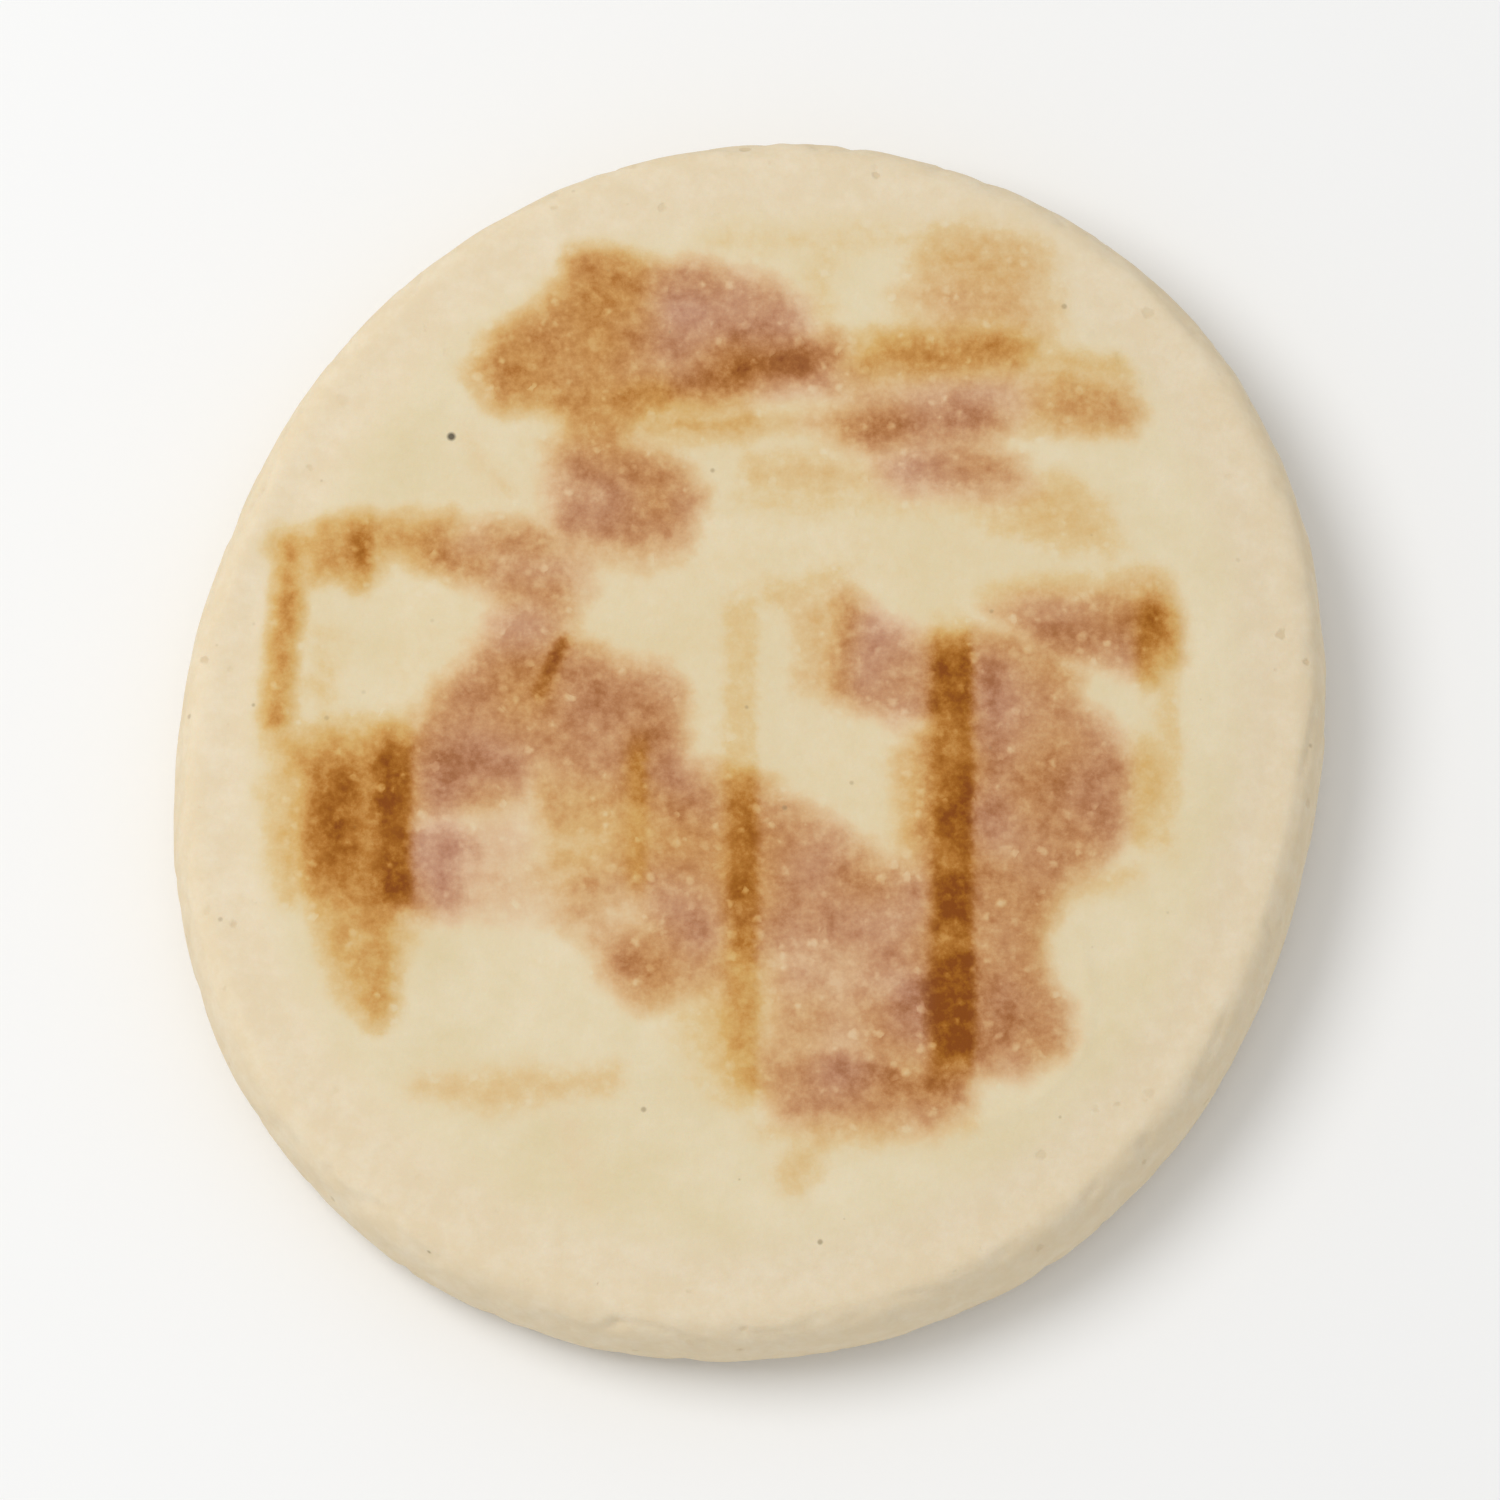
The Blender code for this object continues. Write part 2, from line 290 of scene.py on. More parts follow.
        (20.6, 10.6), (25.0, 12.0), (29.0, 12.4), (33.4, 12.6), (35.6, 11.8), (36.2, 9.4),
        (35.8, 6.8), (34.2, 4.9), (31.0, 5.6), (27.6, 6.2), (24.0, 7.4),
    )),
    Mark(TOUCH, 0.54, 0.70, 1.5, ((27.0, 8.6), (31.0, 8.6))),
    Mark(TOUCH, 0.49, 0.15, 1.8, ((32.4, 9.4), (34.8, 10.4), (35.0, 7.8))),
    Mark(TOUCH, 0.58, 0.00, 1.8, ((34.2, 10.4), (34.6, 8.4))),
    # Right of the right bar
    Mark(PATCH, 0.49, 0.55, 0.2, (
        (18.0, 7.8), (22.4, 8.6), (26.4, 6.8), (28.0, 5.0), (27.4, 3.2), (28.0, 1.8),
        (30.2, 0.8), (32.2, -0.6), (32.8, -3.0), (32.5, -8.0), (31.4, -10.4), (29.0, -12.6),
        (26.4, -14.6), (25.4, -18.0), (25.6, -21.6), (26.8, -23.8), (27.0, -26.4),
        (26.0, -28.8), (23.4, -30.2), (18.0, -30.6),
    )),
    Mark(TOUCH, 0.61, 0.80, 1.8, ((20.6, 4.4), (20.8, -8.6))),
    Mark(TOUCH, 0.45, 0.55, 2.3, ((25.4, -5.4), (30.0, -3.4), (29.6, -8.6), (25.2, -9.0))),
    Mark(TOUCH, 0.62, 0.85, 1.9, ((21.0, -24.4), (23.0, -25.6), (21.0, -27.0))),
    Mark(SMEAR, 0.29, 0.00, 0.7, ((33.6, -1.6), (34.2, -5.0), (33.6, -9.0))),
    Mark(SMEAR, 0.12, 0.00, 1.0, ((36.0, 5.0), (35.6, -10.0))),
    Mark(SMEAR, 0.22, 0.10, 1.0, ((26.6, -14.6), (32.0, -13.0))),
    # Faint marks in the rim zone
    Mark(SMEAR, 0.22, 0.15, 1.2, ((-28.0, -31.6), (-22.0, -32.8), (-12.0, -30.6))),
    Mark(SMEAR, 0.21, 0.10, 1.8, ((5.6, -36.8), (3.4, -39.8))),
    Mark(SMEAR, 0.11, 0.50, 1.4, ((-15.6, -34.6), (-13.8, -42.0))),
    Mark(SMEAR, 0.14, 0.30, 1.4, ((-24.0, 26.0), (-20.6, 21.4))),
    # A faint warmth all over the middle
    Mark(GLOW, 0.07, 0.00, 0.0, (
        (-36.0, 14.0), (-18.0, 34.0), (2.0, 38.0), (26.0, 32.0), (33.0, 14.0), (33.0, -12.0),
        (24.0, -30.0), (4.0, -34.0), (-12.0, -24.0), (-34.0, -18.0),
    )),
)

# Where a rib of the hot plate pressed, the crust is browner by `gain` times its toasting
# and a tint, and clear of haze. A rib's right side cuts in crisply, and its left side and
# its ends fade. Its sides wander by a share of what the marks' edges do.
Rib = namedtuple("Rib", "left right low high gain")
RIB_TINT = 0.05
RIB_LEFT_FADE = 0.9
RIB_RIGHT_FADE = 0.4
RIB_END_FADE = 2.0
RIB_WANDER = 0.25
UPPER_RIBS = (
    Rib(left=15.3, right=19.0, low=-30.5, high=10.0, gain=0.75),
    Rib(left=-2.2, right=0.6, low=-16.4, high=12.0, gain=0.50),
    Rib(left=-1.9, right=0.6, low=-36.0, high=-16.4, gain=0.20),
    Rib(left=-31.8, right=-28.9, low=-16.0, high=1.0, gain=0.56),
    Rib(left=-32.8, right=-32.3, low=-18.0, high=0.0, gain=-0.12),
    Rib(left=-32.2, right=-30.4, low=-25.0, high=-16.0, gain=0.04),
    Rib(left=-38.0, right=-33.4, low=-14.0, high=-1.0, gain=0.13),
    Rib(left=-34.2, right=-32.4, low=12.0, high=20.0, gain=0.40),
    Rib(left=-10.6, right=-8.8, low=-14.0, high=-1.0, gain=0.00),
    Rib(left=33.0, right=36.8, low=-12.0, high=12.0, gain=0.06),
)

# The skin keeps a faint fold round the marks at the lower right.
FOLD = (
    (28.2, -19.0), (29.0, -23.6), (28.2, -28.6), (24.6, -32.6), (19.0, -35.0), (13.0, -37.0),
    (7.0, -36.8), (2.6, -35.8),
)
FOLD_HEIGHT = 0.13
FOLD_TOP = 0.3
FOLD_SOFT = 1.4

# A burnt crumb on the upper face
CRUMB = (-25.6, 26.2)
CRUMB_RADIUS = 0.36

# The face that lies down: its patches stand on a spiral, whose turn spreads them evenly.
UNDER_PATCHES = 10
UNDER_PATCH_SIZES = (7, 13)
SPIRAL_TURN = 2.4
SPIRAL_STEP = 9
UNDER_RIB_MIDDLES = (-27, -5, 22)
UNDER_RIB_WIDTHS = (2.4, 3.8)
UNDER_RIB_LOW = -38

# Where the mark edges wander: the size of each wave and how far it carries them.
Wander = namedtuple("Wander", "size reach")
WANDERS = (Wander(size=6.0, reach=0.9), Wander(size=2.2, reach=0.45))
WANDER_SEEDS = (20, 30)
# How the toasting and the haze vary within a mark: the size of each wave and its share.
Mottle = namedtuple("Mottle", "size share seed")
MOTTLES = (Mottle(size=4.0, share=0.16, seed=7), Mottle(size=1.4, share=0.18, seed=8))
HAZE_DRIFT = Mottle(size=6.0, share=0.6, seed=11)
# Overlapping marks take on little more than the stronger one's brown, at this power.
BLEND = 5
# Each mark has a wide, faint halo: its share of the mark's brown, and how far it fades.
HALO = 0.17
HALO_SOFT = 11.0

# The edge turns into a face as the upright share of its normal goes from the first of
# these to the second.
FACING = (0.80, 0.97)
# The pressed part of a face fades out between these shares of the way to its edge.
PRESSED = (0.80, 0.90)
# As the crust goes from the first of these browns to the second, it rises out of the dough.
RAISED = (0.10, 0.45)
# The relief that noise gives the skin: the size of each wave and how high it lifts.
Wave = namedtuple("Wave", "size height seed")
FACE_WAVES = (Wave(size=21, height=0.11, seed=3), Wave(size=3.6, height=0.04, seed=4))
EDGE_SWELL = Wave(size=12, height=0.22, seed=5)
EDGE_WRINKLES = Wave(size=3.4, height=0.10, seed=7)
EDGE_CREASES = Wave(size=8, height=0.20, seed=6)
# How sharp the creases are, and how much longer wrinkles and creases are than wide
CREASE_SHARPNESS = 6
CREASE_LENGTH = 3.0
# Round bumps: blisters where the crust is brown enough, and pits on what is edge enough
BUMP_RADII = (0.7, 1.3)
LOWEST_BUMP = 0.35
BLISTER_HEIGHT = 0.12
BLISTERED = 0.35
PIT_DEPTH = 0.32
PITTED = 0.7

# How far noise pushes the fine blisters and the pores out of round
PUSH = 0.7
# How much less brown a fine blister is, and how much deeper a pore is than a blister high
BLISTER_PALING = 0.42
PORE_DEPTH = 1.6
# How strongly the pores are painted darker, as painted shade in their pits, and how much of
# their own colour the bran specks show
PORE_PAINTED_SHADE = 0.4
BRAN_SHADE = 0.6
# The colour of the painted shade in the pores
PORE_PAINTED_SHADE_COLOUR = "C2A678"
CRUMB_COLOUR = "514A3E"

# How crust changes colour as it is toasted: in the open, and under a haze of flour. The
# two ends come first, and then the colours between them.
GOLD = (
    (0.00, "E4D5B3"),
    (1.00, "864502"),
    (0.14, "DDC391"),
    (0.30, "D4AC69"),
    (0.45, "C8934E"),
    (0.62, "B2752D"),
    (0.80, "9C5D10"),
)
MAUVE = (
    (0.00, "E5D6B6"),
    (1.00, "8C5030"),
    (0.14, "E1C8A6"),
    (0.28, "D8B392"),
    (0.42, "C7997A"),
    (0.55, "BB886B"),
    (0.75, "A36B4A"),
)


def smooth(low, high, values):
    """0 below `low`, 1 above `high`, and an even S between them."""
    share = np.clip((values - low) / (high - low), 0, 1)
    return share * share * (3 - 2 * share)


def hex_colour(code):
    """The linear colour of an sRGB hex value, with full alpha."""
    channels = [int(code[at : at + 2], 16) / 255 for at in (0, 2, 4)]
    linear = [c / 12.92 if c <= 0.04045 else ((c + 0.055) / 1.055) ** 2.4 for c in channels]
    return (*linear, 1.0)


def per_mm(size):
    """The scale of a texture whose cells or waves measure `size` millimetres."""
    return 1 / (size * MM)


# --- Sizes and colours that a user would change -----------------------------------------


class TIGELLA_PG_crust(bpy.types.PropertyGroup):
    """How the bread is baked"""

    cream: FloatVectorProperty(
        name="Cream",
        description="The palest of the crust that the plates pressed",
        subtype="COLOR",
        size=4,
        min=0,
        max=1,
        default=hex_colour("E6D8B9"),
    )
    shade: FloatVectorProperty(
        name="Shade",
        description="The deepest of the crust that the plates pressed, still untoasted",
        subtype="COLOR",
        size=4,
        min=0,
        max=1,
        default=hex_colour("DCCBA2"),
    )
    rim: FloatVectorProperty(
        name="Rim",
        description="The rim zone and the edge, which no plate touched",
        subtype="COLOR",
        size=4,
        min=0,
        max=1,
        default=hex_colour("E2D0AF"),
    )
    flour: FloatVectorProperty(
        name="Flour",
        description="Flour that stayed on the rim and the edge",
        subtype="COLOR",
        size=4,
        min=0,
        max=1,
        default=hex_colour("EEE3CC"),
    )
    speck: FloatVectorProperty(
        name="Specks",
        description="Bran specks in the dough",
        subtype="COLOR",
        size=4,
        min=0,
        max=1,
        default=hex_colour("8A7755"),
    )
    sink: FloatProperty(
        name="Sink",
        description="How far the untoasted dough lies below the toasted marks",
        unit="LENGTH",
        min=0,
        max=0.001,
        default=0.16 * MM,
    )
    blisters: IntProperty(
        name="Blisters",
        description="How many raised blisters each face has",
        min=0,
        max=500,
        default=110,
    )
    pits: IntProperty(
        name="Pits",
        description="How many small pits the edge has, where bubbles opened",
        min=0,
        max=500,
        default=90,
    )
    seed: IntProperty(
        name="Seed",
        description="Another number gives other blisters and another underside",
        min=0,
        default=7,
    )


class TIGELLA_PG_stage(bpy.types.PropertyGroup):
    """The floor, the lights and the camera"""

    floor: FloatVectorProperty(
        name="Floor",
        description="The floor's colour",
        subtype="COLOR",
        size=4,
        min=0,
        max=1,
        default=hex_colour("F6F6F5"),
    )
    sky: FloatProperty(
        name="Sky",
        description="How bright the light from all round is",
        min=0,
        max=5,
        default=0.64,
    )
    key: FloatProperty(
        name="Key light",
        description="The power of the light from the upper left",
        unit="POWER",
        min=0,
        max=50,
        default=4.4,
    )
    elevation: FloatProperty(
        name="Elevation",
        description="How far above the horizon the camera stands",
        subtype="ANGLE",
        min=0,
        max=math.pi / 2,
        default=math.radians(74),
    )
    distance: FloatProperty(
        name="Distance",
        description="How far the camera stands from the bread",
        unit="LENGTH",
        min=0.1,
        max=10,
        default=2.0,
    )
    width: FloatProperty(
        name="Width",
        description="The width that the camera takes in at the bread",
        unit="LENGTH",
        min=0.01,
        max=1,
        default=0.1285,
    )


# --- The toast marks --------------------------------------------------------------------


def noise_values(points, size, seed):
    """Noise between about -1 and 1, in waves of `size`, at each row of `points`. Each seed
    reads it at another place."""
    shift = Vector((seed * 17.3, seed * 5.1, seed * 11.7))
    return np.array([noise.noise(Vector(point) / size + shift) for point in points])


def distance_outside(plan, outline):
    """How far each plan point lies outside an outline, less than 0 inside it."""
    nearest = np.full(len(plan), np.inf)
    inside = np.zeros(len(plan), bool)
    for start, end in zip(outline, outline[1:] + outline[:1]):
        along = np.subtract(end, start)
        away = plan - start
        share = np.clip(away @ along / (along @ along), 0, 1)
        nearest = np.minimum(nearest, np.hypot(*(away - share[:, None] * along).T))
        level = (start[1] > plan[:, 1]) != (end[1] > plan[:, 1])
        right = away[:, 0] * along[1] < away[:, 1] * along[0]
        inside ^= level & (right == (along[1] > 0))
    return np.where(inside, -nearest, nearest)


def fade(away, soft):
    """1 where `away` is well below 0, 0 where it is well above, in a band `soft` wide."""
    return 1 - smooth(-soft / 2, soft / 2, away)


def band(values, low, high, low_fade, high_fade):
    """1 between `low` and `high`, fading to 0 for each one's fade to either side of it."""
    risen = smooth(low - low_fade, low + low_fade, values)
    return risen - smooth(high - high_fade, high + high_fade, values)


def rib_level(plan, rib):
    """How far each of the plan points lies under a rib of the plate, from 0 to 1."""
    x, y = plan.T
    across = band(x, rib.left, rib.right, RIB_LEFT_FADE, RIB_RIGHT_FADE)
    return across * band(y, rib.low, rib.high, RIB_END_FADE, RIB_END_FADE)


def toast(plan, marks, ribs, seed):
    """(brown, haze) at each plan point, each from 0 to 1."""
    flat = np.column_stack((plan, np.zeros(len(plan))))
    wander = sum(
        np.column_stack([noise_values(flat, wave.size, seed + own) for own in WANDER_SEEDS])
        * wave.reach
        for wave in WANDERS
    )
    layered = np.zeros(len(plan))
    hazed = np.zeros(len(plan))
    shares = np.full(len(plan), 1e-6)
    kept = np.ones(len(plan))
    for mark in marks:
        away = distance_outside(plan + wander * mark.hand.ragged, mark.outline) - mark.spread
        level = abs(mark.brown) * fade(away, mark.hand.soft)
        if mark.brown > 0:
            halo = HALO * mark.brown * fade(away, HALO_SOFT)
            layered += level**BLEND + halo**BLEND
            hazed += mark.haze * level**2
            shares += level**2 + halo**2
        else:
            kept -= kept * level
    brown = layered ** (1 / BLEND) * kept
    drift = noise_values(flat, HAZE_DRIFT.size, seed + HAZE_DRIFT.seed)
    haze = hazed / shares * (1 + HAZE_DRIFT.share * drift)
    brown *= 1 + sum(
        noise_values(flat, wave.size, seed + wave.seed) * wave.share for wave in MOTTLES
    )
    for rib in ribs:
        level = rib_level(plan + wander * RIB_WANDER, rib)
        brown += level * (rib.gain * brown + RIB_TINT)
        haze -= level * haze
    return np.clip(brown, 0, 1), np.clip(haze, 0, 1)


def ring(middle, radii):
    """Corners round a middle, one at each radius, about a fifth wider across than along."""
    steps = [2 * math.pi * count / len(radii) for count in range(len(radii))]
    return tuple(
        (middle[0] + 1.1 * radius * math.cos(turn), middle[1] + 0.9 * radius * math.sin(turn))
        for turn, radius in zip(steps, radii)
    )


def under_pattern(draw):
    """Marks and ribs for the face that lies down, in the manner of the one that shows."""
    marks = [Mark(GLOW, 0.07, 0.0, 0.0, ring((0, 0), [34] * 12))]
    for count in range(UNDER_PATCHES):
        turn = SPIRAL_TURN * count + draw.uniform(-0.4, 0.4)
        reach = SPIRAL_STEP * math.sqrt(count + 0.5)
        middle = (reach * math.cos(turn), reach * math.sin(turn))
        size, haze = draw.uniform(*UNDER_PATCH_SIZES), draw.uniform(0.1, 0.9)
        brown = draw.uniform(0.4, 0.5)
        outline = ring(middle, [size * draw.uniform(0.6, 1.1) for _ in range(9)])
        marks.append(Mark(PATCH, brown, haze, 0.2, outline))
        marks.append(Mark(TOUCH, brown + 0.08, haze, 1.8, (outline[0], middle)))
        marks.append(Mark(SMEAR, 0.28, 0.1, 1.0, outline[3:6]))
    ribs = []
    for middle in UNDER_RIB_MIDDLES:
        left, width = middle + draw.gauss(0, 2), draw.uniform(*UNDER_RIB_WIDTHS)
        high, gain = draw.uniform(10, 30), draw.uniform(0.5, 0.8)
        ribs.append(Rib(left, left + width, UNDER_RIB_LOW, high, gain))
    return marks, ribs


# --- The bread's mesh -------------------------------------------------------------------


def select_edges(mesh, wanted):
    """Selects the edges that `wanted` is true of, and nothing else."""
    bpy.ops.mesh.select_mode(type="EDGE")
    bpy.ops.mesh.select_all(action="DESELECT")
    for edge in mesh.edges:
        if wanted(edge):
            edge.select = True
    mesh.select_flush_mode()


def apply_modifier(bread, kind, **settings):
    """Adds a modifier with these settings and applies it."""
    modifier = bread.modifiers.new(kind.title(), kind)
    for name, value in settings.items():
        setattr(modifier, name, value)
    bpy.ops.object.modifier_apply(modifier=modifier.name)


def make_blank():
    """A stretched round with rounded edges, and an even grid of quads on both faces."""
    bpy.ops.object.select_all(action="DESELECT")
    bpy.ops.mesh.primitive_cylinder_add(
        vertices=COLUMNS, radius=(SIZE.x + SIZE.y) / 4, depth=SIZE.z, location=MIDDLE
    )
    bread = bpy.context.object
    bread.name = bread.data.name = "bread"
    bpy.ops.object.transform_apply(location=True, rotation=True, scale=True)
    bpy.ops.object.mode_set(mode="EDIT")
    mesh = bmesh.from_edit_mesh(bread.data)
    select_edges(mesh, lambda edge: edge.verts[0].co.z == edge.verts[1].co.z)
    bpy.ops.mesh.bevel(offset=ROUNDED_EDGE, segments=EDGE_ROWS, profile=EDGE_FULLNESS)
    bpy.ops.mesh.select_mode(type="FACE")
    bpy.ops.mesh.select_all(action="DESELECT")
    mesh = bmesh.from_edit_mesh(bread.data)
    for face in mesh.faces:
        face.select = len(face.verts) > 4
    bpy.ops.mesh.delete(type="ONLY_FACE")
    for above in (True, False):
        mesh = bmesh.from_edit_mesh(bread.data)
        select_edges(
            mesh,
            lambda edge: edge.is_boundary and (edge.verts[0].co.z > MIDDLE.z) == above,
        )
        bpy.ops.mesh.fill_grid(span=COLUMNS // 4)
    bpy.ops.mesh.select_all(action="SELECT")
    bpy.ops.transform.resize(value=(1 + STRETCH, 1 - STRETCH, 1), center_override=MIDDLE)
    bpy.ops.transform.rotate(value=-STRETCH_LEAN, orient_axis="Z", center_override=MIDDLE)
    bpy.ops.mesh.normals_make_consistent(inside=False)
    bpy.ops.object.mode_set(mode="OBJECT")
    return bread


def fit_to_solid(bread):
    """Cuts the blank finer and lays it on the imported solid."""
    apply_modifier(bread, "SUBSURF", levels=FINENESS, render_levels=FINENESS)
    apply_modifier(bread, "SHRINKWRAP", target=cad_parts[NODE])
    apply_modifier(bread, "SMOOTH", factor=0.5, iterations=SMOOTHING)
    bpy.ops.object.shade_smooth()


def read_mesh(mesh):
    """(places in millimetres, normals) of the mesh's points."""
    places = np.empty(len(mesh.vertices) * 3)
    mesh.vertices.foreach_get("co", places)
    normals = np.empty(len(mesh.vertices) * 3)
    mesh.vertex_normals.foreach_get("vector", normals)
    return places.reshape(-1, 3) / MM, normals.reshape(-1, 3)


def share_of_radius(places):
    """How far out each point lies on its way from the middle to the edge, 0 to 1."""
    turns = np.arctan2(places[:, 1], places[:, 0])
    reach = np.hypot(places[:, 0], places[:, 1])
    bins = np.round((turns + math.pi) / (2 * math.pi) * COLUMNS).astype(int) % COLUMNS
    widest = np.zeros(COLUMNS)
    np.maximum.at(widest, bins, reach)
    return reach / widest[bins]


def write_attribute(mesh, name, values):
    """Gives each point of the mesh its value, for the material to read."""
    attribute = mesh.attributes.new(name, "FLOAT", "POINT")
    attribute.data.foreach_set("value", values.astype(np.float32))


def waves(places, wave):
    """How high a wave of noise lifts each place."""
    return wave.height * noise_values(places, wave.size, wave.seed)


def scattered_bumps(places, among, count, tallest, draw):
    """The heights of round bumps, each on one of the points whose numbers `among` holds."""
    heights = np.zeros(len(places))
    for _ in range(count):
        at = places[among[draw.randrange(len(among))]]
        radius, height = draw.uniform(*BUMP_RADII), draw.uniform(LOWEST_BUMP, 1) * tallest
        away = np.linalg.norm(places - at, axis=1)
        heights = np.maximum(heights, height * (1 - smooth(0, radius, away)))
    return heights


def shape_bread(bread, settings):
    """Gives the fitted mesh its relief, and writes where it is toasted."""
    places, normals = read_mesh(bread.data)
    plan = places[:, :2]
    up = smooth(*FACING, normals[:, 2])
    down = smooth(*FACING, -normals[:, 2])
    faces = up + down
    side = 1 - up - down
    pressed = 1 - smooth(*PRESSED, share_of_radius(places))

    brown = np.zeros(len(places))
    haze = np.zeros(len(places))
    lift = np.zeros(len(places))
    draw = random.Random(settings.seed)
    patterns = ((up, UPPER_MARKS, UPPER_RIBS), (down, *under_pattern(draw)))
    for seed, (facing, marks, ribs) in enumerate(patterns):
        here = np.flatnonzero(facing > 0)
        browned, hazed = toast(plan[here], marks, ribs, seed)
        browned *= facing[here]
        brown[here] = browned
        haze[here] = hazed
        pale = pressed[here] * (1 - smooth(*RAISED, browned))
        lift[here] -= settings.sink / MM * pale
        among = np.flatnonzero(browned > BLISTERED)
        lift[here] += scattered_bumps(
            places[here], among, settings.blisters, BLISTER_HEIGHT, draw
        )

    # The outline runs along the fold and back, so that its ends aren't joined.
    from_fold = distance_outside(plan, FOLD + FOLD[-2:0:-1])
    lift += FOLD_HEIGHT * up * fade(from_fold - FOLD_TOP, FOLD_SOFT)
    lift += faces * sum(waves(places, wave) for wave in FACE_WAVES)
    # Round the edge the dough wrinkled as it rose between the plates.
    squeezed = places * (1, 1, CREASE_LENGTH)
    lift += side * (waves(places, EDGE_SWELL) + waves(squeezed, EDGE_WRINKLES))
    crease_noise = noise_values(squeezed, EDGE_CREASES.size, EDGE_CREASES.seed)
    creases = np.clip(1 - np.abs(crease_noise) * CREASE_SHARPNESS, 0, 1)
    lift -= side * EDGE_CREASES.height * creases
    among = np.flatnonzero(side > PITTED)
    lift -= side * scattered_bumps(places, among, settings.pits, PIT_DEPTH, draw)

    places += normals * lift[:, None]
    places[:, 2] = np.clip(places[:, 2], LOW.z / MM, None)
    bread.data.vertices.foreach_set("co", (places * MM).ravel())
    bread.data.update()
    write_attribute(bread.data, "brown", brown)
    write_attribute(bread.data, "haze", haze)
    write_attribute(bread.data, "pressed", pressed * faces)


# --- The crust's material ---------------------------------------------------------------


def add_node(tree, kind, inputs=(), stops=(), **settings):
    """A node with its settings. `inputs` gives sockets a value or the socket to link."""
    node = tree.nodes.new(kind)
    for name, value in settings.items():
        setattr(node, name, value)
    for socket, value in dict(inputs).items():
        if isinstance(value, bpy.types.NodeSocket):
            tree.links.new(value, node.inputs[socket])
        else:
            node.inputs[socket].default_value = value
    for count, (place, code) in enumerate(stops):
        elements = node.color_ramp.elements
        stop = elements[count] if count < 2 else elements.new(place)
        stop.position, stop.color = place, hex_colour(code)
    return node


def scattered_spots(tree, place, cell, smallest, largest, soft):
    """Round spots of uneven size and strength, one to a cell, with all sizes as radii in
    millimetres. A radius below 0 leaves its cell empty."""
    cells = add_node(tree, "ShaderNodeTexVoronoi", {"Vector": place, "Scale": per_mm(cell)})
    draw = add_node(tree, "ShaderNodeSeparateColor", {"Color": cells.outputs["Color"]})
    radius = add_node(
        tree,
        "ShaderNodeMapRange",
        {
            "Value": draw.outputs["Red"],
            "To Min": smallest / cell,
            "To Max": largest / cell,
        },
    )
    depth = add_node(
        tree,
        "ShaderNodeMath",
        {0: radius.outputs["Result"], 1: cells.outputs["Distance"]},
        operation="SUBTRACT",
    )
    shape = add_node(
        tree,
        "ShaderNodeMapRange",
        {
            "Value": depth.outputs["Value"],
            "From Min": -0.3 * soft / cell,
            "From Max": 0.7 * soft / cell,
        },
        interpolation_type="SMOOTHSTEP",
    )
    strength = add_node(
        tree, "ShaderNodeMapRange", {"Value": draw.outputs["Green"], "To Min": 0.2}
    )
    spots = add_node(
        tree,
        "ShaderNodeMath",
        {0: shape.outputs["Result"], 1: strength.outputs["Result"]},
        operation="MULTIPLY",
    )
    return spots.outputs["Value"]


def browning_pattern(tree, place, brown, blisters):
    """How brown each point is, with its grain of about a millimetre and its blisters."""
    mottle = add_node(
        tree,
        "ShaderNodeTexNoise",
        {"Vector": place, "Scale": per_mm(1.2), "Detail": 5.0, "Roughness": 0.7},
    )
    grain = add_node(
        tree,
        "ShaderNodeMapRange",
        {
            "Value": mottle.outputs["Fac"],
            "From Min": 0.35,
            "From Max": 0.65,
            "To Min": 0.78,
            "To Max": 1.22,
        },
    )
    grained = add_node(
        tree, "ShaderNodeMath", {0: brown, 1: grain.outputs["Result"]}, operation="MULTIPLY"
    )
    unblistered = add_node(
        tree,
        "ShaderNodeMath",
        {0: blisters, 1: -BLISTER_PALING, 2: 1.0},
        operation="MULTIPLY_ADD",
    )
    browning = add_node(
        tree,
        "ShaderNodeMath",
        {0: grained.outputs["Value"], 1: unblistered.outputs["Value"]},
        operation="MULTIPLY",
    )
    return browning.outputs["Value"]


